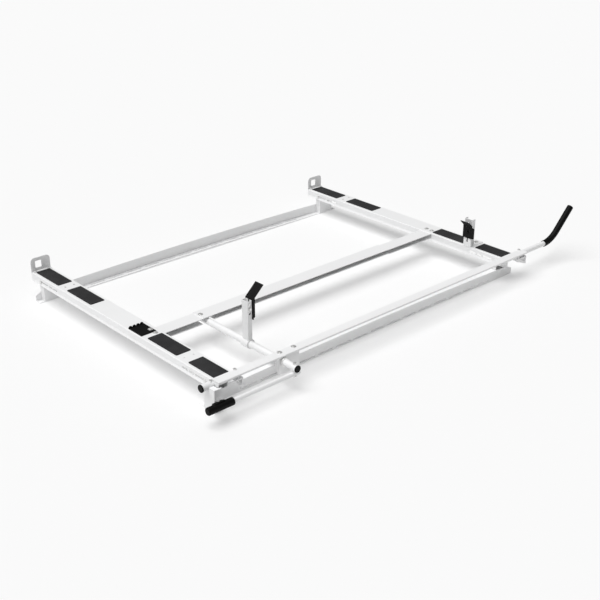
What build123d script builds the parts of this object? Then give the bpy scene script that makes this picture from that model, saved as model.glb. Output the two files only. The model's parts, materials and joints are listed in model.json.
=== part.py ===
"""Ladder rack for a van roof: two crossbars with grip pads on two side rails, and a locking ladder clamp.

Millimetres. X runs along the van, Y across it from the kerb side inwards, Z up from the roof plane.
The origin is on the roof plane, at the centre of the four roof bolt holes.
"""
import os
from math import copysign, cos, radians, sin, tan

from build123d import *

os.makedirs("parts", exist_ok=True)

# --- overall sizes -------------------------------------------------------------------------------
bar_spacing = 1850.0      # crossbar centre to crossbar centre
bar_length = 1480.0       # across the van
bar_top = 127.0           # crossbar top above the roof
bolt_spacing_y = bar_length - 165.0  # roof bolt holes, across the van
rail_overhang = 77.0      # side rail past the crossbar centre
near_x, far_x = -bar_spacing / 2, bar_spacing / 2
kerb_y = -bar_length / 2  # the crossbars' outer ends

# --- crossbar section ----------------------------------------------------------------------------
bar_width = 105.0
bar_height = 40.0
sheet = 3.0
bend = 4.0                # outside bend radius of the sheet parts
flare = 5.0               # how far the lower edges of the crossbar stand out
flare_height = 9.5
slot_height = 10.0
slot_drop = 23.0          # slot centre line below the crossbar top
# centre from the middle, length
slot_runs = [(-kerb_y - 115.5, 75.0), (-kerb_y - 176.5, 29.0), (-kerb_y - 220.5, 39.0)]

# --- grip pads -----------------------------------------------------------------------------------
pad_width = 76.2
pad_thickness = 3.0
pad_corner = 6.0
pad_runs = [(-kerb_y - 123.5, 211.5), (-kerb_y - 412.0, 211.5),   # centre, length
            (kerb_y + 403.5, 211.5), (kerb_y + 131.0, 173.5)]

# --- side rails ----------------------------------------------------------------------------------
rail_sheet = 3.0
rail_flange = 33.0
rail_inner_web = -kerb_y - 66.0   # inner rail: inside face of its web
rail_outer_web = kerb_y + 66.0  # outer rail: inside face of its web
rail_height = 50.0        # web height at the rail ends
rail_crown = 6.0          # rise of the rail at mid length, between the feet
crown_start = far_x - 57.0     # the rails lie flat on the roof from here to their ends
rail_top_crown = 6.0      # extra web height at mid length
rail_chamfer = (40.0, 19.0)
rail_slot = (90.0, 8.0)
rail_slot_pitch = 110.0
rail_slot_count = int((bar_spacing - 190.0) / rail_slot_pitch)
roof_hole = 11.0
foot_bolt_offset = 34.0   # foot base bolts from the crossbar centre

# --- feet ----------------------------------------------------------------------------------------
foot_sheet = 3.0
foot_gap = 0.3            # foot cheeks inside the crossbar
foot_bolt_y = -kerb_y - 85.0      # crossbar bolts, from the middle
foot_top_gap = 6.0        # cheeks stop short of the crossbar's inner top
foot_slot = (10.0, 18.0)  # slot in the foot's web: width, height
foot_slot_z = 68.0

# --- outer channel and clamp shaft ---------------------------------------------------------------
channel_ends = (near_x - 52.0, far_x + 112.0)
channel_back = kerb_y + 43.0
channel_lip = 8.0
channel_bolt_y = kerb_y + 28.0
tab_x = {"near": near_x + bar_width / 2 + 22.5, "far": far_x + 110.0}
tab_height = (67.0, 108.0)
gusset_length = 83.0
gusset_tip = 10.0
gusset_window = [(-58.0, 103.0), (-10.0, 103.0), (-10.0, 77.0)]   # from the tab, and above the roof
shaft_x = near_x + 291.0
plate_bolts = (shaft_x + 3.0, shaft_x + 82.0)
shaft_z = 100.0
shaft_diameter = 32.0
shaft_wall = 2.5
shaft_outer_end = kerb_y - 86.0
bush_wall = 2.0
bush_fit = 0.05           # radial running clearance in the bushes
bearing_plate_x = (shaft_x - shaft_diameter / 2 - 6.0, shaft_x + 89.0)
bearing_plate_bottom = 43.0
bearing_return = 36.0

# --- middle rail ---------------------------------------------------------------------------------
middle_face = -236.0      # outer face of the middle rail
middle_width = 84.0
middle_height = 25.0
middle_ends = (shaft_x - 28.0, far_x - 380.0)
middle_notch = shaft_x + 30.0    # only the top of the middle rail runs on over the shaft
bracket_reach = {"near": (near_x + 7.0, shaft_x + 28.0), "far": (far_x - 400.0, far_x - 7.0)}
bracket_low = {"near": 95.0, "far": 97.0}
pivot_ear = 28.0          # half the length of the near bracket's ear round the shaft
pivot_drop = 24.0         # the ear reaches this far below the shaft's centre

# --- ladder clamp --------------------------------------------------------------------------------
post_size = (25.0, 40.0)  # along X, along Y
post_wall = 2.5
post_y = kerb_y + 233.0
post_top = 302.0
post_slot = (238.0, 290.0)
collar_radius = 22.0
far_post_y = kerb_y + 261.0
far_post_size = (25.0, 50.0)
far_post_top = 278.0
far_post_slot = (150.0, 262.0)
slot_width = 9.0
hook_sheet = 4.0
hook_rib = 8.0            # the near hook's side ribs stand out this far
hook_angle = 43.0
hook_bend = 6.0
hook_gap = 0.3
near_hook = (213.0, 306.0, 80.0)   # lower edge, bend, length of the sloping plate
far_hook = (175.0, 245.0, 38.0)
far_hook_ear = 15.0       # the far hook's leg is wider by this towards the kerb
slider_height = 36.0
near_hook_bolt_z = 264.0
far_hook_bolt_z = 206.0
hook_bolt = 8.0
saddle_holes = 24.0       # bolts from the crossbar centre line

# --- handle --------------------------------------------------------------------------------------
rod_diameter = 21.3
rod_wall = 2.5
rod_y = kerb_y - 71.0
rod_gap = 0.35            # between the rod and the shaft above it
rod_inner_end = shaft_x + 24.0
rod_outer_end = near_x - 153.0
grip_diameter = 34.0
grip_length = 128.0
grip_end = near_x - 164.0
handle_bolt = 10.0
latch_x = (near_x - 81.0, near_x - 42.0)
latch_top = 108.0
latch_low_top = 90.0
lock_holes = (75.0, 57.0)
clip_x = (near_x - 120.0, near_x - 75.0)
clip_gap = 0.6

# --- guide arm and its sockets -------------------------------------------------------------------
socket_y = kerb_y + 40.0
socket_diameter = 32.0
socket_wall = 2.4
arm_fit = 0.1             # radial clearance of the arm in its socket
socket_ends = (far_x - 65.0, far_x + 115.0)
near_socket_ends = (near_x - 106.0, near_x + 80.0)
arm_wall = 2.5
arm_start = far_x - 25.0
arm_bend_start = far_x + 316.0
arm_bend_radius = 150.0
arm_bend_angle = 45.0
arm_straight = 150.0      # after the bend
sleeve_thickness = 3.3
sleeve_lead = 2.0         # straight part of the sleeve before the bend
sleeve_tip = 8.0
set_screws = {"near": near_x + bar_width / 2 + 11.5, "far": far_x + 99.0}

# --- worked out from the values above ------------------------------------------------------------
bar_x = {"near": near_x, "far": far_x}
rail_half = bar_spacing / 2 + rail_overhang
socket_z = bar_top - sheet - socket_diameter / 2 - 0.5
rod_z = shaft_z - shaft_diameter / 2 - rod_gap - rod_diameter / 2
roof_y = bolt_spacing_y / 2
slot_z = bar_top - slot_drop
far = 3000.0              # longer than anything here, for through cuts


def finish(piece, name):
    """Name a finished piece and write it."""
    piece.part.label = name
    export_step(piece.part, f"parts/{name}.step")


def across(y):
    """A plane facing the kerb side at this Y, with X to the right and Z up."""
    return Plane(origin=(0, y, 0), x_dir=(1, 0, 0), z_dir=(0, -1, 0))


def along(x):
    """A plane facing the far end at this X, with Y to the right and Z up."""
    return Plane.YZ.offset(x)


def bent(points, thickness, radius, side):
    """The section of a bent sheet: a line with rounded corners, thickened to one side."""
    with BuildSketch() as section:
        with BuildLine():
            FilletPolyline(*points, radius=radius)
            offset(amount=thickness, side=side)
        make_face()
    return section.sketch


def hex_seat(x, y, z, facing):
    """The plane under a bolt head; facing points from the surface towards the head."""
    return Plane(origin=(x, y, z), x_dir=(0, 1, 0) if facing[0] else (1, 0, 0), z_dir=facing)


def fasteners(name, seats, diameter, grip, nuts=True):
    """Hex bolts: each seat is a plane on the surface under a head, facing the head."""
    across_flats = 1.6 * diameter
    head = 0.6 * diameter
    with BuildPart() as group:
        for seat in seats:
            with BuildSketch(seat, seat.offset(-grip - head)) if nuts else BuildSketch(seat):
                RegularPolygon(across_flats / 2, 6, major_radius=False)
            extrude(amount=head)
            with BuildSketch(seat):
                Circle(diameter / 2)
            extrude(amount=-grip - (head + 1 if nuts else 0))
    finish(group, name)


# --- crossbars -----------------------------------------------------------------------------------
def make_crossbar(end, top_holes):
    x = bar_x[end]
    half = bar_width / 2
    low = bar_top - bar_height
    knee = low + flare_height
    outline = [(x - half - flare, low), (x - half, knee), (x - half, bar_top),
               (x + half, bar_top), (x + half, knee), (x + half + flare, low)]
    with BuildPart() as bar:
        with BuildSketch(across(bar_length / 2)):
            add(bent(outline, sheet, bend, Side.RIGHT))
        extrude(amount=bar_length)
        with BuildSketch(along(x)):
            for centre, length in slot_runs:
                with Locations((centre, slot_z), (-centre, slot_z)):
                    SlotOverall(length, slot_height)
            with Locations((socket_y, socket_z)):
                Circle(socket_diameter / 2 + foot_gap)
        extrude(amount=bar_width, both=True, mode=Mode.SUBTRACT)
        with BuildSketch(Plane.XY.offset(low - 1)):
            with Locations((x - copysign(bar_width / 2, x), middle_face + middle_width / 2)):
                Rectangle(4 * sheet + 2 * flare, middle_width)
        extrude(amount=bar_height - sheet + 1, mode=Mode.SUBTRACT)
        for diameter, place in top_holes:
            with BuildSketch(Plane.XY.offset(bar_top + 1)):
                with Locations(place):
                    Circle(diameter / 2 + foot_gap)
            extrude(amount=-sheet - 2, mode=Mode.SUBTRACT)
    finish(bar, f"crossbar_{end}")


stop_screw = 6.0
pad_screw = 5.0
stop_screws = {end: [(x - 34, bar_length / 2 - 9), (x + 34, bar_length / 2 - 9)] for end, x in bar_x.items()}
pad_screws = {end: [(x + side * saddle_holes, -kerb_y - 268.0) for side in (-1, 1)] for end, x in bar_x.items()}
clamp_holes = {end: [(x + side * saddle_holes, far_post_y) for side in (-1, 1)] for end, x in bar_x.items()}
rail_line = middle_face + middle_width / 2
bracket_bolts = {"near": [(near_x + 20.0, rail_line - middle_width / 6)],
                 "far": [(far_x - 18.0, rail_line + middle_width * 0.26),
                         (far_x - 21.0, rail_line - middle_width / 5)]}
rest_bolt = (near_x + 20.0, rail_line + middle_width * 0.26)

for end in bar_x:
    holes = [(stop_screw, place) for place in stop_screws[end]]
    holes += [(pad_screw, place) for place in pad_screws[end]]
    holes += [(8.0, place) for place in clamp_holes[end] + bracket_bolts[end]]
    holes += [(8.0, rest_bolt)] if end == "near" else []
    make_crossbar(end, holes)


# --- grip pads -----------------------------------------------------------------------------------
for end, x in bar_x.items():
    for number, (centre, length) in enumerate(pad_runs, start=1):
        with BuildPart() as pad:
            with BuildSketch(Plane.XY.offset(bar_top)):
                with Locations((x, centre)):
                    RectangleRounded(pad_width, length, pad_corner)
            extrude(amount=pad_thickness)
            chamfer(pad.edges().group_by(Axis.Z)[-1], 0.8)
        finish(pad, f"grip_pad_{end}_{number}")


# --- ladder stops at the inner ends of the crossbars ---------------------------------------------
stop_height = 70.0
stop_window = (34.0, 36.0)
stop_foot = 15.0

for end, x in bar_x.items():
    half = bar_width / 2
    face_y = bar_length / 2
    with BuildPart() as stop:
        with BuildSketch(across(face_y + sheet)):
            with Locations((x, bar_top + (stop_height - bar_height) / 2)):
                Rectangle(bar_width, stop_height + bar_height)
            fillet(vertices().group_by(Axis.Y)[-1], 20)
            with Locations((x - 12, bar_top + stop_height / 2)):
                RectangleRounded(*stop_window, 5, mode=Mode.SUBTRACT)
        extrude(amount=sheet)
        with BuildSketch(Plane.XY.offset(bar_top)):
            with Locations((x, face_y - stop_foot / 2)):
                Rectangle(bar_width - 8, stop_foot)
            with Locations(stop_screws[end]):
                Circle(stop_screw / 2 + foot_gap, mode=Mode.SUBTRACT)
        extrude(amount=sheet)
    finish(stop, f"ladder_stop_{end}")

fasteners("ladder_stop_screws",
          [hex_seat(*place, bar_top + sheet, (0, 0, 1)) for places in stop_screws.values() for place in places],
          stop_screw, 2 * sheet)


# --- side rails ----------------------------------------------------------------------------------
def rail_outline(height, crown_extra):
    """The web's side view: crowned lower and upper edges, upper corners cut off."""
    cut_x, cut_z = rail_chamfer
    with BuildSketch() as outline:
        with BuildLine():
            Line((-rail_half, 0), (-crown_start, 0))
            ThreePointArc((-crown_start, 0), (0, rail_crown), (crown_start, 0))
            Line((crown_start, 0), (rail_half, 0))
            Line((rail_half, 0), (rail_half, height - cut_z))
            Line((rail_half, height - cut_z), (rail_half - cut_x, height))
            ThreePointArc((rail_half - cut_x, height), (0, height + rail_crown + crown_extra),
                          (-rail_half + cut_x, height))
            Line((-rail_half + cut_x, height), (-rail_half, height - cut_z))
            Line((-rail_half, height - cut_z), (-rail_half, 0))
        make_face()
    return outline.sketch


def lower_strip():
    """The side view of the lower flange: flat under the feet, crowned between them."""
    with BuildSketch() as strip:
        with BuildLine():
            for z in (0, rail_sheet):
                Line((-rail_half, z), (-crown_start, z))
                ThreePointArc((-crown_start, z), (0, z + rail_crown), (crown_start, z))
                Line((crown_start, z), (rail_half, z))
            Line((-rail_half, 0), (-rail_half, rail_sheet))
            Line((rail_half, 0), (rail_half, rail_sheet))
        make_face()
    return strip.sketch


def upper_strip():
    """The side view of the upper flange, which follows the web's upper edge."""
    half = rail_half - rail_chamfer[0]
    rise = rail_crown + rail_top_crown
    with BuildSketch() as strip:
        with BuildLine():
            for z in (rail_height - rail_sheet, rail_height):
                ThreePointArc((-half, z), (0, z + rise), (half, z))
            Line((-half, rail_height - rail_sheet), (-half, rail_height))
            Line((half, rail_height - rail_sheet), (half, rail_height))
        make_face()
    return strip.sketch


def make_inner_rail():
    with BuildPart() as rail:
        with BuildSketch(across(rail_inner_web)):
            add(rail_outline(rail_height, rail_top_crown))
        extrude(amount=-rail_sheet)
        with BuildSketch(across(rail_inner_web)):
            add(lower_strip())
        extrude(amount=rail_flange)
        with BuildSketch(Plane.XY.offset(-1)):
            with Locations([(x, roof_y) for x in bar_x.values()]):
                Circle(roof_hole / 2)
            with Locations(inner_base_bolts):
                Circle(4.3)
            with GridLocations(rail_slot_pitch, 1, rail_slot_count - 2, 1):
                with Locations((0, roof_y)):
                    SlotOverall(*rail_slot)
        extrude(amount=rail_crown + 2 * rail_sheet + 1, mode=Mode.SUBTRACT)
    finish(rail, "side_rail_inner")


def make_outer_rail():
    with BuildPart() as rail:
        with BuildSketch(across(rail_outer_web)):
            add(rail_outline(rail_height, rail_top_crown))
            with Locations((0, rail_crown + 8)):
                with GridLocations(rail_slot_pitch, 1, rail_slot_count, 1):
                    SlotOverall(*rail_slot, mode=Mode.SUBTRACT)
            with Locations(latch_rail_bolt):
                Circle(4.3, mode=Mode.SUBTRACT)
        extrude(amount=rail_sheet)
        with BuildSketch(across(rail_outer_web)):
            add(lower_strip())
            add(upper_strip())
        extrude(amount=-rail_flange)
        with BuildSketch(Plane.XY.offset(-1)):
            with Locations([(x, -roof_y) for x in bar_x.values()]):
                Circle(roof_hole / 2)
            with Locations(outer_base_bolts):
                Circle(4.3)
        extrude(amount=2 * rail_sheet, mode=Mode.SUBTRACT)
        with BuildSketch(Plane.XY.offset(rail_height - 2 * rail_sheet)):
            with Locations([(x, rail_outer_web + rail_flange / 2 + 0.5) for x in bar_x.values()]):
                Rectangle(2 * foot_half + 2, rail_flange + 1)
        extrude(amount=40, mode=Mode.SUBTRACT)
    finish(rail, "side_rail_outer")


inner_base_bolts = [(x + side * foot_bolt_offset, roof_y) for x in bar_x.values() for side in (-1, 1)]
outer_base_bolts = [(x, -y) for x, y in inner_base_bolts]
foot_half = bar_width / 2 - sheet - foot_gap
latch_rail_bolt = (near_x - bar_width / 2 - 12.5, 20.0)
make_inner_rail()
make_outer_rail()


# --- feet ----------------------------------------------------------------------------------------
cheek_top = bar_top - sheet - foot_top_gap
foot_ends = {"inner": 1, "outer": -1}

for end, x in bar_x.items():
    for side_name, side in foot_ends.items():
        web = rail_inner_web - rail_flange
        plan = [(x - foot_half, side * (rail_inner_web - foot_gap)), (x - foot_half, side * web),
                (x + foot_half, side * web), (x + foot_half, side * (rail_inner_web - foot_gap))]
        with BuildPart() as foot:
            with BuildSketch(Plane.XY.offset(rail_sheet)):
                add(bent(plan, foot_sheet, bend, Side.LEFT if side > 0 else Side.RIGHT))
            extrude(amount=cheek_top - rail_sheet)
            with BuildSketch(Plane.XY.offset(rail_sheet)):
                with Locations((x, side * roof_y)):
                    Rectangle(2 * foot_half - foot_sheet, rail_flange - 2 * foot_gap - 2)
            extrude(amount=foot_sheet)
            with BuildSketch(Plane.XY):
                with Locations((x, side * roof_y)):
                    Circle(roof_hole / 2)
                with Locations([(x + way * foot_bolt_offset, side * roof_y) for way in (-1, 1)]):
                    Circle(4.3)
            extrude(amount=4 * foot_sheet, mode=Mode.SUBTRACT)
            with BuildSketch(along(x)):
                with Locations((side * foot_bolt_y, slot_z)):
                    Circle(4.3)
            extrude(amount=bar_width, both=True, mode=Mode.SUBTRACT)
            with BuildSketch(across(side * web)):
                with Locations((x, foot_slot_z)):
                    SlotOverall(foot_slot[1], foot_slot[0], rotation=90)
            extrude(amount=2 * foot_sheet, both=True, mode=Mode.SUBTRACT)
        finish(foot, f"foot_{side_name}_{end}")

side_face = bar_width / 2
for side_name, side in foot_ends.items():
    fasteners(f"foot_bolts_{side_name}",
              [hex_seat(x + way * side_face, side * foot_bolt_y, slot_z, (way, 0, 0))
               for x in bar_x.values() for way in (-1, 1)], 8.0, sheet + foot_gap + foot_sheet)
fasteners("foot_base_screws",
          [hex_seat(*place, rail_sheet + foot_sheet, (0, 0, 1))
           for place in inner_base_bolts + outer_base_bolts],
          8.0, rail_sheet + foot_sheet - 0.5, nuts=False)
fasteners("pad_gap_screws",
          [hex_seat(*place, bar_top, (0, 0, 1)) for places in pad_screws.values() for place in places],
          pad_screw, sheet)


# --- middle rail and its brackets ----------------------------------------------------------------
middle_y = middle_face + middle_width / 2
middle_back = middle_face + middle_width
bracket_back = middle_back - sheet - foot_gap
bracket_front = middle_face + sheet

with BuildPart() as rail:
    low = bar_top - middle_height
    with BuildSketch(along(middle_ends[0])):
        add(bent([(middle_face, bar_top), (middle_back, bar_top), (middle_back, low), (middle_face, low)],
                 sheet, bend, Side.RIGHT))
    extrude(amount=middle_ends[1] - middle_ends[0])
    with BuildSketch(across(middle_y)):
        with Locations(((middle_ends[0] + middle_notch) / 2 - 1, low)):
            Rectangle(middle_notch - middle_ends[0] + 2, 2 * (middle_height - sheet))
    extrude(amount=middle_width, both=True, mode=Mode.SUBTRACT)
    with BuildSketch(Plane.XY.offset(bar_top + 1)):
        with Locations((shaft_x - 16, middle_y)):
            Circle(4.3)
    extrude(amount=-2 * sheet, mode=Mode.SUBTRACT)
finish(rail, "middle_rail")

for end, (start, stop) in bracket_reach.items():
    top = bar_top - sheet
    low = bracket_low[end]
    rail_end = middle_ends[1] if end == "far" else 0
    with BuildPart() as bracket:
        with BuildSketch(along(start)):
            add(bent([(bracket_front, top), (bracket_back, top), (bracket_back, low), (bracket_front, low)],
                     sheet, bend, Side.RIGHT))
        extrude(amount=stop - start)
        if end == "near":
            with BuildSketch(Plane.XY.offset(low - 1)):
                with Locations((stop, middle_y)):
                    Rectangle(2 * (stop - shaft_x + pivot_ear + 4), middle_width)
            extrude(amount=top - low - sheet, mode=Mode.SUBTRACT)
            with BuildSketch(across(bracket_back)):
                Polygon((shaft_x - pivot_ear - 6, top - 1), (shaft_x - pivot_ear - 6, low),
                        (shaft_x - 16, shaft_z - pivot_drop), (shaft_x + 16, shaft_z - pivot_drop),
                        (stop, low), (stop, top - 1), align=None)
            extrude(amount=sheet)
            with BuildSketch(across(bracket_back)):
                with Locations((shaft_x, shaft_z)):
                    Circle(shaft_diameter / 2 + bush_wall + bush_fit)
            extrude(amount=2 * sheet, both=True, mode=Mode.SUBTRACT)
        else:
            with BuildSketch(Plane.XY.offset(low - 1)):
                with Locations(((start + rail_end) / 2 - 1, middle_y)):
                    Rectangle(rail_end - start + 2.6, middle_width)
            extrude(amount=bar_top - middle_height + sheet + 1 - low, mode=Mode.SUBTRACT)
        with BuildSketch(Plane.XY.offset(bar_top)):
            with Locations(bracket_bolts[end]):
                Circle(4.3)
            if end == "near":
                with Locations(rest_bolt, (shaft_x - 16, middle_y)):
                    Circle(4.3)
        extrude(amount=-3 * sheet, mode=Mode.SUBTRACT)
    finish(bracket, f"middle_bracket_{end}")

fasteners("middle_bolts",
          [hex_seat(*place, bar_top, (0, 0, 1)) for place in bracket_bolts["near"] + bracket_bolts["far"]
           + [(shaft_x - 16, middle_y)]], 8.0, 2 * sheet)


# --- serrated ladder rest on the near crossbar ---------------------------------------------------
rest_x = (near_x - 46.0, near_x + 32.0)
rest_y = (-198.0, -98.0)
rest_height = 3.5
tooth_count = 4
tooth_height = 7.0

with BuildPart() as rest:
    with BuildSketch(Plane.XY.offset(bar_top)):
        with Locations((sum(rest_x) / 2, sum(rest_y) / 2)):
            Rectangle(rest_x[1] - rest_x[0], rest_y[1] - rest_y[0])
        with Locations(rest_bolt):
            Circle(4.3, mode=Mode.SUBTRACT)
    extrude(amount=rest_height)
    pitch = (rest_x[1] - rest_x[0]) / tooth_count
    ridge = bar_top + rest_height
    teeth = [(rest_x[0], bar_top + 1), (rest_x[1], bar_top + 1), (rest_x[1], ridge)]
    for tooth in range(tooth_count):
        right = rest_x[1] - tooth * pitch
        teeth += [(right - 0.25 * pitch, ridge + tooth_height), (right - 0.7 * pitch, ridge + tooth_height),
                  (right - pitch, ridge)]
    with BuildSketch(across(rest_y[1])):
        Polygon(*teeth, align=None)
    extrude(amount=rest_height)
finish(rest, "ladder_rest")
fasteners("ladder_rest_bolt", [hex_seat(*rest_bolt, bar_top + rest_height, (0, 0, 1))],
          8.0, rest_height + 2 * sheet)


# --- outer channel, its brackets and the clamp's bearing plate -----------------------------------
gusset_front = -bar_length / 2 - sheet
channel_front = gusset_front - 1.0
channel_top = bar_top + sheet
socket_bolts = [(x, socket_y) for x in set_screws.values()]
lip_low = channel_top - channel_lip

with BuildPart() as channel:
    with BuildSketch(along(channel_ends[0])):
        add(bent([(channel_front, lip_low), (channel_front, channel_top), (channel_back, channel_top)],
                 sheet, bend, Side.RIGHT))
    extrude(amount=channel_ends[1] - channel_ends[0])
    with BuildSketch(Plane.XY.offset(channel_top + 1)):
        with Locations([(x, channel_bolt_y) for x in plate_bolts] + socket_bolts):
            Circle(4.3)
    extrude(amount=-sheet - 2, mode=Mode.SUBTRACT)
finish(channel, "outer_channel")

for end, x in tab_x.items():
    low, high = tab_height
    with BuildPart() as bracket:
        with BuildSketch(Plane.XY.offset(low)):
            add(bent([(x - gusset_length, gusset_front), (x, gusset_front), (x, socket_y + 22)],
                     sheet, bend, Side.LEFT))
        extrude(amount=high - low)
        with BuildSketch(across(gusset_front)):
            Polygon((x - gusset_length - 1, high - gusset_tip), (x - gusset_length - 1, low - 1),
                    (x - bend, low - 1), (x - bend, low), align=None)
        extrude(amount=2 * sheet, both=True, mode=Mode.SUBTRACT)
        inner_end = max(x - gusset_length, bar_x[end] + side_face + flare + 1)
        with BuildSketch(Plane.XY.offset(high)):
            with Locations(((inner_end + x - bend) / 2, gusset_front + 13)):
                Rectangle(x - bend - inner_end, 24)
        extrude(amount=-sheet)
        with BuildSketch(across(gusset_front)):
            Polygon(*[(x + px, pz) for px, pz in gusset_window], align=None)
        extrude(amount=-sheet, mode=Mode.SUBTRACT)
        with BuildSketch(along(x)):
            with Locations((socket_y, socket_z)):
                Circle(socket_diameter / 2 + 0.05)
        extrude(amount=2 * sheet, both=True, mode=Mode.SUBTRACT)
    finish(bracket, f"channel_bracket_{end}")

plate_left, plate_right = bearing_plate_x
with BuildPart() as plate:
    with BuildSketch(across(-bar_length / 2)):
        with Locations(((plate_left + plate_right) / 2, (bearing_plate_bottom + bar_top) / 2)):
            Rectangle(plate_right - plate_left, bar_top - bearing_plate_bottom)
        with Locations((shaft_x, shaft_z)):
            Circle(shaft_diameter / 2 + bush_wall + bush_fit, mode=Mode.SUBTRACT)
    extrude(amount=-sheet)
    with BuildSketch(Plane.XY.offset(bar_top)):
        with Locations(((plate_left + plate_right) / 2, (-bar_length / 2 + channel_back - 2) / 2)):
            Rectangle(plate_right - plate_left, bar_length / 2 + channel_back - 2)
        with Locations([(x, channel_bolt_y) for x in plate_bolts]):
            Circle(4.3, mode=Mode.SUBTRACT)
    extrude(amount=-sheet)
    with BuildSketch(along(plate_left)):
        Polygon((-bar_length / 2, bearing_plate_bottom), (-bar_length / 2, bar_top),
                (-bar_length / 2 + bearing_return, bar_top), (-bar_length / 2 + 12, bearing_plate_bottom),
                align=None)
    extrude(amount=sheet)
    upright = plate.edges().filter_by(Axis.Z).sort_by(lambda e: e.center().X + e.center().Y)[0]
    fillet(upright, bend - 1)
finish(plate, "bearing_plate")
fasteners("channel_bolts",
          [hex_seat(x, channel_bolt_y, channel_top, (0, 0, 1)) for x in plate_bolts], 8.0, 2 * sheet)

bush_length = 18.0
for name, front in (("shaft_bush_outer", -bar_length / 2 - 11.0),
                    ("shaft_bush_inner", bracket_back - sheet - 4.0)):
    with BuildPart() as bush:
        with BuildSketch(across(front)):
            with Locations((shaft_x, shaft_z)):
                Circle(shaft_diameter / 2 + bush_fit + bush_wall)
                Circle(shaft_diameter / 2 + bush_fit, mode=Mode.SUBTRACT)
        extrude(amount=-bush_length)
        with BuildSketch(across(front)):
            with Locations((shaft_x, shaft_z)):
                Circle(shaft_diameter / 2 + bush_fit + bush_wall + 2.5)
                Circle(shaft_diameter / 2 + bush_fit, mode=Mode.SUBTRACT)
        extrude(amount=-4)
    finish(bush, name)


# --- clamp shaft, post and handle ----------------------------------------------------------------
def rod_along_y(x, z, start, end, outer, inner=0.0):
    """A tube or bar along Y, from start to end."""
    with BuildPart() as tube:
        with BuildSketch(across(start)):
            with Locations((x, z)):
                Circle(outer)
                if inner:
                    Circle(inner, mode=Mode.SUBTRACT)
        extrude(amount=start - end)
    return tube.part


shaft_inner_end = bracket_back + 10.0
bolt_clear = handle_bolt / 2 + 0.3

with BuildPart() as shaft:
    add(rod_along_y(shaft_x, shaft_z, shaft_outer_end, shaft_inner_end, shaft_diameter / 2,
                    shaft_diameter / 2 - shaft_wall))
    with BuildSketch(Plane.XY.offset(shaft_z - shaft_diameter)):
        with Locations((shaft_x, rod_y)):
            Circle(bolt_clear)
    extrude(amount=2 * shaft_diameter, mode=Mode.SUBTRACT)
finish(shaft, "clamp_shaft")

with BuildPart() as cap:
    add(rod_along_y(shaft_x, shaft_z, shaft_outer_end - 5, shaft_outer_end, shaft_diameter / 2))
    add(rod_along_y(shaft_x, shaft_z, shaft_outer_end, shaft_outer_end + 7, shaft_diameter / 2 - shaft_wall))
    fillet(cap.edges().sort_by(Axis.Y)[0], 1.5)
finish(cap, "shaft_cap")

with BuildPart() as post:
    half_x, half_y = post_size[0] / 2, post_size[1] / 2
    with BuildSketch(Plane.XY.offset(shaft_z)):
        with Locations((shaft_x, post_y)):
            RectangleRounded(post_size[0], post_size[1], 3)
    extrude(amount=post_top - shaft_z)
    add(rod_along_y(shaft_x, shaft_z, post_y - 22, post_y + 22, collar_radius))
    with BuildSketch(Plane.XY.offset(shaft_z + shaft_diameter / 2 + 4)):
        with Locations((shaft_x, post_y)):
            RectangleRounded(post_size[0] - 2 * post_wall, post_size[1] - 2 * post_wall, 1)
    extrude(amount=post_top, mode=Mode.SUBTRACT)
    with BuildSketch(across(post_y)):
        with Locations((shaft_x, shaft_z)):
            Circle(shaft_diameter / 2 + 0.05)
    extrude(amount=2 * half_y, both=True, mode=Mode.SUBTRACT)
    with BuildSketch(across(post_y)):
        with Locations((shaft_x, (post_slot[0] + post_slot[1]) / 2)):
            SlotOverall(post_slot[1] - post_slot[0], slot_width, rotation=90)
    extrude(amount=2 * half_y, both=True, mode=Mode.SUBTRACT)
    with BuildSketch(along(shaft_x)):
        with Locations((post_y, post_top)):
            Rectangle(slot_width, 2 * (post_top - post_slot[0] + 16))
    extrude(amount=half_x + 5, mode=Mode.SUBTRACT)
finish(post, "clamp_post")

with BuildPart() as rod:
    with BuildSketch(along(rod_outer_end)):
        with Locations((rod_y, rod_z)):
            Circle(rod_diameter / 2)
            Circle(rod_diameter / 2 - rod_wall, mode=Mode.SUBTRACT)
    extrude(amount=rod_inner_end - rod_outer_end)
    with BuildSketch(Plane.XY.offset(rod_z - rod_diameter)):
        with Locations((shaft_x, rod_y)):
            Circle(bolt_clear)
    extrude(amount=2 * rod_diameter, mode=Mode.SUBTRACT)
finish(rod, "handle_rod")

with BuildPart() as grip:
    with BuildSketch(along(grip_end)):
        with Locations((rod_y, rod_z)):
            Circle(grip_diameter / 2)
    extrude(amount=grip_length)
    fillet(grip.edges().sort_by(Axis.X)[0], 5)
    chamfer(grip.edges().sort_by(Axis.X)[-1], 1.5)
    with BuildSketch(along(rod_outer_end)):
        with Locations((rod_y, rod_z)):
            Circle(rod_diameter / 2)
    extrude(amount=grip_length, mode=Mode.SUBTRACT)
finish(grip, "handle_grip")

handle_grip_span = shaft_diameter + rod_gap + rod_diameter
fasteners("handle_bolt", [hex_seat(shaft_x, rod_y, shaft_z + shaft_diameter / 2, (0, 0, 1))],
          handle_bolt, handle_grip_span)


# --- handle latch --------------------------------------------------------------------------------
latch_left, latch_right = latch_x
latch_front = kerb_y - 11.0
latch_step = kerb_y + 24.0
latch_back = rail_outer_web - rail_sheet
latch_foot = 1.0
flare_clear = bar_x["near"] - side_face - flare - 0.6

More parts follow.
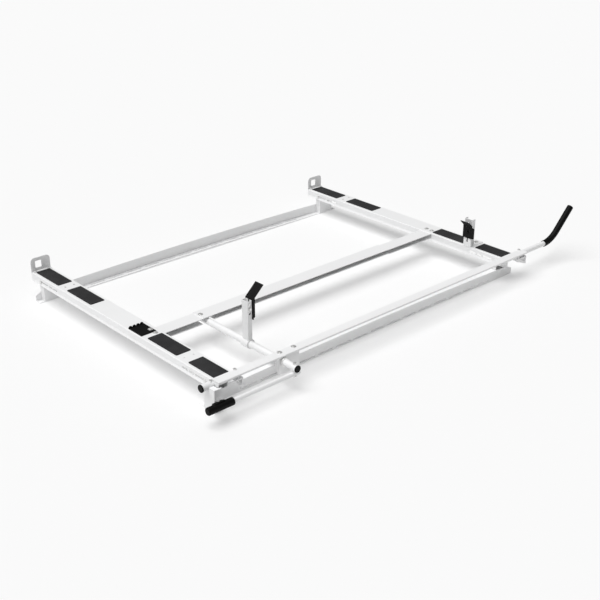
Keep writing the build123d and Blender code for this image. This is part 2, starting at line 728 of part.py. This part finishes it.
with BuildPart() as latch:
    with BuildSketch(Plane.XY.offset(latch_foot)):
        add(bent([(latch_right, latch_front), (latch_left, latch_front), (latch_left, latch_back),
                  (bar_x["near"] - foot_half - 1, latch_back)], sheet, bend, Side.RIGHT))
    extrude(amount=latch_top - latch_foot)
    with BuildSketch(along(latch_left)):
        Polygon((latch_step, latch_low_top), (latch_back + 1, latch_low_top),
                (latch_back + 1, latch_top + 1), (latch_step, latch_top + 1), align=None)
    extrude(amount=bar_width, both=True, mode=Mode.SUBTRACT)
    with BuildSketch(across(latch_back - sheet)):
        Polygon((latch_left + sheet, rail_height - 8), (latch_right, rail_height - 8),
                (latch_right, latch_top), (latch_left + sheet, latch_top), align=None)
    extrude(amount=-sheet - 1, mode=Mode.SUBTRACT)
    with BuildSketch(Plane.XY.offset(latch_top)):
        Polygon((latch_left + 1, latch_front + 1), (latch_right, latch_front + 1), (latch_right, gusset_front),
                (flare_clear, gusset_front), (flare_clear, latch_step), (latch_left + 1, latch_step), align=None)
    extrude(amount=-sheet)
    with BuildSketch(across(latch_front)):
        with Locations([(near_x - 62, z) for z in lock_holes]):
            Circle(5)
    extrude(amount=-2 * sheet, mode=Mode.SUBTRACT)
    with BuildSketch(across(latch_back)):
        with Locations(latch_rail_bolt):
            Circle(4.3)
    extrude(amount=2 * sheet, both=True, mode=Mode.SUBTRACT)
finish(latch, "latch_bracket")
latch_seat = hex_seat(latch_rail_bolt[0], latch_back - sheet, latch_rail_bolt[1], (0, -1, 0))
fasteners("latch_bolt", [latch_seat], 8.0, 2 * sheet)

clip_wall = 3.0
clip_inner = grip_diameter / 2 + clip_gap
clip_outer = clip_inner + clip_wall
clip_arm = (52.0, 62.0)   # the clip's arm, above the roof
with BuildPart() as clip:
    with BuildSketch(along(clip_x[0])):
        with Locations((rod_y, rod_z)):
            Circle(clip_outer)
        Polygon((rod_y, rod_z), (rod_y + clip_outer, rod_z), (rod_y + clip_outer, clip_arm[0]),
                (rod_y + clip_inner, clip_arm[0]), align=None)
        with Locations((rod_y, rod_z)):
            Circle(clip_inner, mode=Mode.SUBTRACT)
        Polygon((rod_y + 4, rod_z), (rod_y - 12, rod_z + 40), (rod_y - 60, rod_z + 40), (rod_y - 60, 0),
                (rod_y + clip_inner, 0), (rod_y + clip_inner, rod_z), align=None, mode=Mode.SUBTRACT)
    extrude(amount=clip_x[1] - clip_x[0])
    with BuildSketch(along(clip_x[1] - 20)):
        Polygon((rod_y + clip_inner + 0.5, clip_arm[0]), (latch_front, clip_arm[0]),
                (latch_front, clip_arm[0] + clip_wall),
                (rod_y + clip_outer, clip_arm[1]), (rod_y + clip_inner + 0.5, clip_arm[1]), align=None)
    extrude(amount=20)
    with BuildSketch(across(latch_front)):
        with Locations(((clip_x[1] - 20 + latch_right - 4) / 2, clip_arm[0] - 8)):
            Rectangle(latch_right - 4 - clip_x[1] + 20, 24)
        with Locations((near_x - 62, lock_holes[1])):
            Circle(6, mode=Mode.SUBTRACT)
    extrude(amount=clip_wall)
finish(clip, "handle_clip")


# --- guide sockets and the swinging guide arm ----------------------------------------------------
for end, (start, stop) in (("near", near_socket_ends), ("far", socket_ends)):
    with BuildPart() as socket:
        with BuildSketch(along(start)):
            with Locations((socket_y, socket_z)):
                Circle(socket_diameter / 2)
                Circle(socket_diameter / 2 - socket_wall, mode=Mode.SUBTRACT)
        extrude(amount=stop - start)
        with BuildSketch(Plane.XY.offset(socket_z)):
            with Locations((set_screws[end], socket_y)):
                Circle(4.0)
            if end == "near":
                with Locations((near_x - 60, socket_y)):
                    Circle(4.0)
        extrude(amount=socket_diameter, mode=Mode.SUBTRACT)
    finish(socket, f"guide_socket_{end}")

socket_inner = socket_diameter / 2 - socket_wall
with BuildPart() as plug:
    with BuildSketch(along(near_socket_ends[0] - 6)):
        with Locations((socket_y, socket_z)):
            Circle(socket_diameter / 2 + 0.8)
    extrude(amount=6)
    fillet(plug.edges().sort_by(Axis.X)[0], 2)
    with BuildSketch(along(near_socket_ends[0])):
        with Locations((socket_y, socket_z)):
            Circle(socket_inner)
    extrude(amount=10)
finish(plug, "socket_plug")

arm_radius = socket_inner - arm_fit
top_screw = (near_x - 60, socket_y)
with BuildPart() as screws:
    with BuildSketch(Plane.XY.offset(socket_z + socket_diameter / 2)):
        with Locations(top_screw):
            RegularPolygon(6.4, 6, major_radius=False)
    extrude(amount=5)
    with BuildSketch(Plane.XY.offset(socket_z + socket_diameter / 2)):
        with Locations(top_screw):
            Circle(3.9)
    extrude(amount=-socket_wall - 3)
    for end, x in set_screws.items():
        with BuildSketch(Plane.XY.offset(channel_top)):
            with Locations((x, socket_y)):
                RegularPolygon(6.4, 6, major_radius=False)
        extrude(amount=5)
        with BuildSketch(Plane.XY.offset(channel_top)):
            with Locations((x, socket_y)):
                Circle(3.9)
        extrude(amount=socket_z + arm_radius + 0.4 - channel_top)
finish(screws, "socket_screws")

turn = radians(arm_bend_angle)


def arm_point(angle):
    return (arm_bend_start + arm_bend_radius * sin(angle), socket_y,
            socket_z + arm_bend_radius * (1 - cos(angle)))


arm_tip = (arm_point(turn)[0] + arm_straight * cos(turn), socket_y,
           arm_point(turn)[2] + arm_straight * sin(turn))

with BuildPart() as arm:
    with BuildLine() as path:
        Line((arm_start, socket_y, socket_z), arm_point(0))
        ThreePointArc(arm_point(0), arm_point(turn / 2), arm_point(turn))
        Line(arm_point(turn), arm_tip)
    with BuildSketch(along(arm_start)):
        with Locations((socket_y, socket_z)):
            Circle(arm_radius)
            Circle(arm_radius - arm_wall, mode=Mode.SUBTRACT)
    sweep(path=path.wires()[0])
finish(arm, "guide_arm")

with BuildPart() as sleeve:
    with BuildLine() as path:
        Line((arm_bend_start - sleeve_lead, socket_y, socket_z), arm_point(0))
        ThreePointArc(arm_point(0), arm_point(turn / 2), arm_point(turn))
        Line(arm_point(turn), arm_tip)
    with BuildSketch(along(arm_bend_start - sleeve_lead)):
        with Locations((socket_y, socket_z)):
            Circle(arm_radius + sleeve_thickness)
            Circle(arm_radius, mode=Mode.SUBTRACT)
    sweep(path=path.wires()[0])
    tip = Plane(origin=arm_tip, x_dir=(0, 1, 0), z_dir=(cos(turn), 0, sin(turn)))
    with BuildSketch(tip):
        Circle(arm_radius + sleeve_thickness)
    extrude(amount=sleeve_tip)
    fillet(sleeve.faces().sort_by(lambda f: (f.center() - Vector(*arm_tip)).dot(tip.z_dir))[-1].edges(), 5)
finish(sleeve, "guide_sleeve")


# --- ladder hooks --------------------------------------------------------------------------------
half_leg = 25.0
face_x = shaft_x + post_size[0] / 2 + hook_gap
low, high, slope = near_hook
rise = radians(hook_angle)
with BuildPart() as hook:
    with BuildSketch(across(post_y)):
        add(bent([(face_x, low), (face_x, high), (face_x + slope * cos(rise), high + slope * sin(rise))],
                 hook_sheet, hook_bend, Side.RIGHT))
    extrude(amount=half_leg, both=True)
    rib_edge = face_x + hook_sheet + hook_rib
    rib_top = high - hook_sheet / 2
    for side in (-1, 1):
        with BuildSketch(across(post_y + side * half_leg)):
            Polygon((face_x + 1, low + 4), (rib_edge, low + 10),
                    (rib_edge, rib_top + (rib_edge - face_x) * tan(rise)), (face_x + 1, rib_top), align=None)
        extrude(amount=side * hook_sheet)
    with BuildSketch(along(face_x)):
        with Locations((post_y, near_hook_bolt_z)):
            Rectangle(slot_width - 1.6, slider_height - 8)
    extrude(amount=hook_sheet, mode=Mode.SUBTRACT)
finish(hook, "near_hook")

with BuildPart() as slider:
    with BuildSketch(Plane.XY.offset(near_hook_bolt_z - slider_height / 2)):
        with Locations((shaft_x, post_y)):
            Rectangle(post_size[0] - 2 * post_wall - 2 * hook_gap, post_size[1] - 2 * post_wall - 2 * hook_gap)
    extrude(amount=slider_height)
    with BuildSketch(along(shaft_x)):
        with Locations((post_y, near_hook_bolt_z)):
            Rectangle(slot_width - 1.6, slider_height - 8)
    extrude(amount=post_size[0] / 2 + hook_gap + hook_sheet)
    with BuildSketch(across(post_y)):
        with Locations((shaft_x, near_hook_bolt_z)):
            Circle(hook_bolt / 2 + 0.2)
    extrude(amount=post_size[1], both=True, mode=Mode.SUBTRACT)
finish(slider, "near_hook_block")
bolt_reach = post_size[1] / 2 + hook_gap
fasteners("near_hook_bolt", [hex_seat(shaft_x, post_y - bolt_reach, near_hook_bolt_z, (0, -1, 0))],
          hook_bolt, 2 * bolt_reach)

saddle_size = (106.0, 50.0)
far_x = bar_x["far"]
post_back = far_x - side_face
with BuildPart() as saddle:
    with BuildSketch(Plane.XY.offset(bar_top)):
        with Locations((far_x, far_post_y)):
            RectangleRounded(saddle_size[0], saddle_size[1], 4)
        with Locations(clamp_holes["far"]):
            Circle(4.3, mode=Mode.SUBTRACT)
    extrude(amount=sheet)
finish(saddle, "clamp_saddle")
fasteners("saddle_bolts", [hex_seat(*place, bar_top + sheet, (0, 0, 1)) for place in clamp_holes["far"]],
          8.0, 2 * sheet)

with BuildPart() as stand:
    half = far_post_size[1] / 2
    with BuildSketch(Plane.XY.offset(bar_top + sheet)):
        add(bent([(post_back + far_post_size[0], far_post_y - half), (post_back, far_post_y - half),
                  (post_back, far_post_y + half), (post_back + far_post_size[0], far_post_y + half)],
                 sheet, bend, Side.RIGHT))
    extrude(amount=far_post_top - bar_top - sheet)
    with BuildSketch(along(post_back)):
        with Locations((far_post_y, far_post_top)):
            Rectangle(4 * half, 4 * half)
        with Locations((far_post_y, far_post_top - half)):
            Rectangle(2 * half, 2 * half + 60, mode=Mode.SUBTRACT)
    with BuildSketch(along(post_back)):
        with Locations((far_post_y, (far_post_slot[0] + far_post_slot[1]) / 2)):
            SlotOverall(far_post_slot[1] - far_post_slot[0], slot_width, rotation=90)
    extrude(amount=2 * sheet, both=True, mode=Mode.SUBTRACT)
    fillet(stand.faces().sort_by(Axis.X)[0].edges().filter_by(Axis.Y), 0.5)
finish(stand, "far_post")

low, high, slope = far_hook
face_x = post_back - hook_gap
leg_half = half + 3
with BuildPart() as hook:
    with BuildSketch(across(far_post_y)):
        add(bent([(face_x, low), (face_x, high),
                  (face_x - slope * cos(rise), high + slope * sin(rise))], hook_sheet, hook_bend, Side.LEFT))
    extrude(amount=leg_half, both=True)
    with BuildSketch(along(face_x)):
        with Locations((far_post_y - leg_half - far_hook_ear / 2 + 2, (low + high) / 2 - 4)):
            RectangleRounded(far_hook_ear + 4, high - low - 12, 5)
    extrude(amount=-hook_sheet)
    with BuildSketch(along(face_x)):
        with Locations((far_post_y, far_hook_bolt_z)):
            Circle(hook_bolt / 2 + 0.2)
    extrude(amount=3 * hook_sheet, both=True, mode=Mode.SUBTRACT)
finish(hook, "far_hook")
fasteners("far_hook_bolt", [hex_seat(face_x - hook_sheet, far_post_y, far_hook_bolt_z, (-1, 0, 0))],
          hook_bolt, hook_sheet + 2 * hook_gap + sheet)
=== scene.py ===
import json
from math import radians

import bmesh
import bpy
from mathutils import Matrix, Vector


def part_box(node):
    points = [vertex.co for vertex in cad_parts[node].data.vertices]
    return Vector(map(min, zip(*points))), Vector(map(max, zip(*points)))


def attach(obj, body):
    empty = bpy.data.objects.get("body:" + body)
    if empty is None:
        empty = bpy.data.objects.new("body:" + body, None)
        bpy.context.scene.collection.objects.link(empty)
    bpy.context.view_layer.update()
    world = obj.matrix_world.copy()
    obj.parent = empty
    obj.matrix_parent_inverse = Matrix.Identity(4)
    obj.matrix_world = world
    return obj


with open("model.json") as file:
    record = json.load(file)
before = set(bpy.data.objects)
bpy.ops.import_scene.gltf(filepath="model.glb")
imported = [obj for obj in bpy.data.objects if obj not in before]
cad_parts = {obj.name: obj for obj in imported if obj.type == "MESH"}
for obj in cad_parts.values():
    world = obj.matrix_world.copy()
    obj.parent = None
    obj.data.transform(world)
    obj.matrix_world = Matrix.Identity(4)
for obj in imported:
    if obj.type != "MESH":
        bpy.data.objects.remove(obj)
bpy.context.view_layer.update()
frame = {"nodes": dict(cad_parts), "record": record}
nodes = frame["nodes"]
print("frame loaded:", len(nodes), "CAD nodes")


def deselectAll():
    if bpy.context.object and bpy.context.object.mode != "OBJECT":
        bpy.ops.object.mode_set(mode="OBJECT")
    bpy.ops.object.select_all(action="DESELECT")


def makeActive(obj):
    deselectAll()
    obj.select_set(True)
    bpy.context.view_layer.objects.active = obj


def settle(obj):
    # the finished piece keeps its place in its mesh, with the object at the origin
    makeActive(obj)
    bpy.ops.object.transform_apply(location=True, rotation=True, scale=True)
    bpy.context.scene.cursor.location = (0, 0, 0)
    bpy.ops.object.origin_set(type="ORIGIN_CURSOR")


def copyOf(obj, name):
    twin = obj.copy()
    twin.data = obj.data.copy()
    twin.name = name
    bpy.context.scene.collection.objects.link(twin)
    return twin


def place(obj, spot, facing):
    # turn a piece modelled upright at the origin so its top looks along facing, then move it to spot
    turn = Vector((0, 0, 1)).rotation_difference(Vector(facing)).to_matrix().to_4x4()
    obj.matrix_world = Matrix.Translation(Vector(spot)) @ turn


def newGroup(name, inputs, outputs):
    group = bpy.data.node_groups.new(name, "ShaderNodeTree")
    for label, kind, value in inputs:
        socket = group.interface.new_socket(name=label, in_out="INPUT", socket_type=kind)
        socket.default_value = value
    for label, kind in outputs:
        group.interface.new_socket(name=label, in_out="OUTPUT", socket_type=kind)
    return group, group.nodes.new("NodeGroupInput"), group.nodes.new("NodeGroupOutput")


def addNode(tree, kind, **values):
    node = tree.nodes.new(kind)
    for key, value in values.items():
        setattr(node, key, value)
    return node


# fine surface grain: a height for the bump and a mask for the roughness
grainGroup, grainIn, grainOut = newGroup(
    "surfaceGrain",
    [("Size", "NodeSocketFloat", 600.0), ("Detail", "NodeSocketFloat", 3.0)],
    [("Height", "NodeSocketFloat"), ("Mask", "NodeSocketFloat")])
coords = addNode(grainGroup, "ShaderNodeTexCoord")
fine = addNode(grainGroup, "ShaderNodeTexNoise")
grainGroup.links.new(coords.outputs["Object"], fine.inputs["Vector"])
grainGroup.links.new(grainIn.outputs["Size"], fine.inputs["Scale"])
grainGroup.links.new(grainIn.outputs["Detail"], fine.inputs["Detail"])
contrast = addNode(grainGroup, "ShaderNodeMapRange")
contrast.inputs["From Min"].default_value = 0.35
contrast.inputs["From Max"].default_value = 0.65
grainGroup.links.new(fine.outputs["Fac"], contrast.inputs["Value"])
grainGroup.links.new(fine.outputs["Fac"], grainOut.inputs["Height"])
grainGroup.links.new(contrast.outputs["Result"], grainOut.inputs["Mask"])

# slow unevenness over a surface, such as handling marks and settled dust
dustGroup, dustIn, dustOut = newGroup(
    "handledDust",
    [("Size", "NodeSocketFloat", 6.0), ("Amount", "NodeSocketFloat", 0.3)],
    [("Mask", "NodeSocketFloat")])
coords = addNode(dustGroup, "ShaderNodeTexCoord")
clouds = addNode(dustGroup, "ShaderNodeTexNoise")
clouds.inputs["Detail"].default_value = 6.0
clouds.inputs["Roughness"].default_value = 0.6
dustGroup.links.new(coords.outputs["Object"], clouds.inputs["Vector"])
dustGroup.links.new(dustIn.outputs["Size"], clouds.inputs["Scale"])
cut = addNode(dustGroup, "ShaderNodeMapRange")
cut.inputs["From Min"].default_value = 0.42
cut.inputs["From Max"].default_value = 0.72
dustGroup.links.new(clouds.outputs["Fac"], cut.inputs["Value"])
strength = addNode(dustGroup, "ShaderNodeMath", operation="MULTIPLY")
dustGroup.links.new(cut.outputs["Result"], strength.inputs[0])
dustGroup.links.new(dustIn.outputs["Amount"], strength.inputs[1])
dustGroup.links.new(strength.outputs["Value"], dustOut.inputs["Mask"])
print("shared effects ready")


finishes = {
    "white_powder_coat": dict(base=(0.885, 0.887, 0.89), worn=(0.82, 0.822, 0.825), metallic=0.0, rough=(0.30, 0.42),
                              coat=0.25, shine=0.5, grainSize=900.0, grainDepth=0.00012, dustSize=5.0, dust=0.35),
    "black_rubber": dict(base=(0.002, 0.002, 0.002), worn=(0.006, 0.006, 0.006), metallic=0.0, rough=(0.45, 0.62),
                         coat=0.0, shine=0.12, grainSize=1400.0, grainDepth=0.0003, dustSize=14.0, dust=0.5),
    "pad_rubber": dict(base=(0.016, 0.016, 0.017), worn=(0.06, 0.06, 0.062), metallic=0.0, rough=(0.70, 0.95),
                       coat=0.0, shine=0.35, grainSize=1100.0, grainDepth=0.0012, dustSize=9.0, dust=0.35),
    "zinc_steel": dict(base=(0.90, 0.90, 0.89), worn=(0.70, 0.70, 0.69), metallic=0.85, rough=(0.32, 0.50),
                       coat=0.0, shine=0.5, grainSize=1800.0, grainDepth=0.00015, dustSize=60.0, dust=0.8),
    "black_coating": dict(base=(0.002, 0.002, 0.002), worn=(0.008, 0.008, 0.008), metallic=0.0, rough=(0.32, 0.46),
                          coat=0.0, shine=0.15, grainSize=700.0, grainDepth=0.0004, dustSize=20.0, dust=0.4),
    "black_plastic": dict(base=(0.002, 0.002, 0.002), worn=(0.007, 0.007, 0.007), metallic=0.0, rough=(0.40, 0.55),
                          coat=0.0, shine=0.12, grainSize=1600.0, grainDepth=0.00025, dustSize=18.0, dust=0.4),
}


def makeFinish(name, look):
    material = bpy.data.materials.new(name)
    material.use_nodes = True
    tree = material.node_tree
    shader = tree.nodes["Principled BSDF"]
    shader.inputs["Metallic"].default_value = look["metallic"]
    shader.inputs["Specular IOR Level"].default_value = look["shine"]
    shader.inputs["Coat Weight"].default_value = look["coat"]
    shader.inputs["Coat Roughness"].default_value = 0.12
    grain = addNode(tree, "ShaderNodeGroup", node_tree=grainGroup)
    grain.inputs["Size"].default_value = look["grainSize"]
    dust = addNode(tree, "ShaderNodeGroup", node_tree=dustGroup)
    dust.inputs["Size"].default_value = look["dustSize"]
    dust.inputs["Amount"].default_value = look["dust"]
    blend = addNode(tree, "ShaderNodeMix", data_type="RGBA")
    blend.inputs["A"].default_value = (*look["base"], 1)
    blend.inputs["B"].default_value = (*look["worn"], 1)
    tree.links.new(dust.outputs["Mask"], blend.inputs["Factor"])
    tree.links.new(blend.outputs["Result"], shader.inputs["Base Color"])
    rough = addNode(tree, "ShaderNodeMapRange")
    rough.inputs["To Min"].default_value, rough.inputs["To Max"].default_value = look["rough"]
    tree.links.new(grain.outputs["Mask"], rough.inputs["Value"])
    tree.links.new(rough.outputs["Result"], shader.inputs["Roughness"])
    bump = addNode(tree, "ShaderNodeBump")
    bump.inputs["Distance"].default_value = look["grainDepth"]
    tree.links.new(grain.outputs["Height"], bump.inputs["Height"])
    tree.links.new(bump.outputs["Normal"], shader.inputs["Normal"])
    return material


materials = {name: makeFinish(name, look) for name, look in finishes.items()}
slotOf = {part["node"]: part["material_slot"] for part in frame["record"]["subparts"]}
for name, obj in nodes.items():
    obj.data.materials.clear()
    obj.data.materials.append(materials[slotOf[name]])
print("finishes on the CAD nodes")


gripLook = dict(ribs=9, depth=0.0022, sink=0.0009)
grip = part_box("handle_grip")


def addRing(name, axis, spot, major, minor, body, slot):
    # one turned ring, such as a grip rib, round an axis
    deselectAll()
    bpy.ops.mesh.primitive_torus_add(major_segments=48, minor_segments=10, major_radius=major, minor_radius=minor,
                                     location=(0, 0, 0))
    ring = bpy.context.object
    ring.name = name
    place(ring, spot, axis)
    settle(ring)
    bpy.ops.object.shade_smooth()
    ring.data.materials.append(materials[slot])
    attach(ring, body)
    return ring


gripLow, gripHigh = Vector(grip[0]), Vector(grip[1])
gripRadius = (gripHigh.z - gripLow.z) / 2
gripCentre = (gripLow + gripHigh) / 2
for number in range(gripLook["ribs"]):
    along = gripLow.x + (gripHigh.x - gripLow.x) * (number + 0.5) / gripLook["ribs"]
    addRing(f"gripRib_{number + 1}", (1, 0, 0), (along, gripCentre.y, gripCentre.z), gripRadius - gripLook["sink"],
            gripLook["depth"] / 2, "clamp", slotOf["handle_grip"])
print("grip ribs ready")


washerLook = dict(width=0.0235, thick=0.0016, hole=0.0084, edge=0.0004, smooth=40)


def modelWasher():
    # a pressed steel washer with rounded edges, flat on its underside at z = 0
    deselectAll()
    bpy.ops.mesh.primitive_circle_add(vertices=40, radius=washerLook["width"] / 2, fill_type="NOTHING")
    washer = bpy.context.object
    bpy.ops.object.mode_set(mode="EDIT")
    bpy.ops.mesh.select_all(action="SELECT")
    bpy.ops.mesh.extrude_edges_move()
    scale = washerLook["hole"] / washerLook["width"]
    bpy.ops.transform.resize(value=(scale, scale, 1))
    bpy.ops.mesh.select_all(action="SELECT")
    bpy.ops.mesh.normals_make_consistent(inside=False)
    bpy.ops.object.mode_set(mode="OBJECT")
    solid = washer.modifiers.new("Solid", "SOLIDIFY")
    solid.thickness = washerLook["thick"]
    solid.offset = 1
    soft = washer.modifiers.new("Edges", "BEVEL")
    soft.width = washerLook["edge"]
    soft.segments = 2
    makeActive(washer)
    bpy.ops.object.modifier_apply(modifier="Solid")
    bpy.ops.object.modifier_apply(modifier="Edges")
    bpy.ops.object.shade_smooth_by_angle(angle=radians(washerLook["smooth"]))
    return washer


def islandBoxes(node):
    # the lowest and highest corners of each separate solid in a CAD node
    mesh = bmesh.new()
    mesh.from_mesh(nodes[node].data)
    bmesh.ops.remove_doubles(mesh, verts=mesh.verts, dist=1e-5)
    left, boxes = set(mesh.verts), []
    while left:
        seed = min(left, key=lambda vert: tuple(vert.co))
        group, edge = {seed}, [seed]
        while edge:
            near = {link.other_vert(vert) for vert in edge for link in vert.link_edges} - group
            group |= near
            edge = list(near)
        left -= group
        boxes.append([Vector(tuple(pick(vert.co[i] for vert in group) for i in range(3)))
                      for pick in (min, max)])
    mesh.free()
    return sorted(boxes, key=lambda box: tuple(round(value, 4) for value in box[0]))


# bolts with their heads on an upper face: the washer lies on that face, under the head
topBolts = dict(channel_bolts="rack_frame", middle_bolts="rack_frame", saddle_bolts="rack_frame",
                ladder_rest_bolt="rack_frame")
boltSize = 0.008
headHeight = 0.6 * boltSize
washer = modelWasher()
count = 0
for node, body in topBolts.items():
    for low, high in islandBoxes(node):
        ring = copyOf(washer, f"washer_{node}_{count + 1}")
        count += 1
        place(ring, ((low.x + high.x) / 2, (low.y + high.y) / 2, high.z - headHeight), (0, 0, 1))
        settle(ring)
        ring.data.materials.append(materials["zinc_steel"])
        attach(ring, body)
bpy.data.objects.remove(washer)
print("washers ready:", count)


studio = dict(floor=40.0, floorColour=(0.60, 0.60, 0.60), floorGlow=0.31, sky=0.20, backdrop=0.955,
              sun=2.95, sunFrom=(-0.35, 0.15, 1.0), sunAngle=1.0)
deselectAll()
bpy.ops.mesh.primitive_plane_add(size=studio["floor"], location=(0, 0, -0.0005))
floor = bpy.context.object
floor.name = "studioFloor"
paper = bpy.data.materials.new("studioPaper")
paper.use_nodes = True
paperShader = paper.node_tree.nodes["Principled BSDF"]
paperShader.inputs["Base Color"].default_value = (*studio["floorColour"], 1)
paperShader.inputs["Roughness"].default_value = 0.9
paperShader.inputs["Specular IOR Level"].default_value = 0.0
paperShader.inputs["Emission Color"].default_value = (1, 1, 1, 1)
paperShader.inputs["Emission Strength"].default_value = studio["floorGlow"]
floor.data.materials.append(paper)

world = bpy.data.worlds.new("studioWorld")
bpy.context.scene.world = world
world.use_nodes = True
world.node_tree.nodes["Background"].inputs["Color"].default_value = (1, 1, 1, 1)
world.node_tree.nodes["Background"].inputs["Strength"].default_value = studio["sky"]
# the backdrop behind the floor's edge is as pale as the floor, while the light it gives stays low
backdrop = addNode(world.node_tree, "ShaderNodeBackground")
backdrop.inputs["Color"].default_value = (1, 1, 1, 1)
backdrop.inputs["Strength"].default_value = studio["backdrop"]
rays = addNode(world.node_tree, "ShaderNodeLightPath")
either = addNode(world.node_tree, "ShaderNodeMixShader")
world.node_tree.links.new(rays.outputs["Is Camera Ray"], either.inputs["Fac"])
world.node_tree.links.new(world.node_tree.nodes["Background"].outputs["Background"], either.inputs[1])
world.node_tree.links.new(backdrop.outputs["Background"], either.inputs[2])
world.node_tree.links.new(either.outputs["Shader"], world.node_tree.nodes["World Output"].inputs["Surface"])
bpy.context.scene.view_settings.view_transform = "Standard"

deselectAll()
bpy.ops.object.light_add(type="SUN", location=(0, 0, 5))
sun = bpy.context.object
sun.name = "softSun"
sun.data.energy = studio["sun"]
sun.data.angle = studio["sunAngle"]
sun.rotation_euler = Vector(studio["sunFrom"]).to_track_quat("Z", "Y").to_euler()

view = dict(spot=(-3.1046, -3.5598, 2.1428), direction=(0.6090, 0.6697, -0.4250), lens=61.4, sensor=36.0)
deselectAll()
bpy.ops.object.camera_add(location=view["spot"])
camera = bpy.context.object
camera.rotation_euler = Vector(view["direction"]).to_track_quat("-Z", "Y").to_euler()
camera.data.lens = view["lens"]
camera.data.sensor_width = view["sensor"]
camera.data.clip_end = 100
bpy.context.scene.camera = camera
print("studio ready")
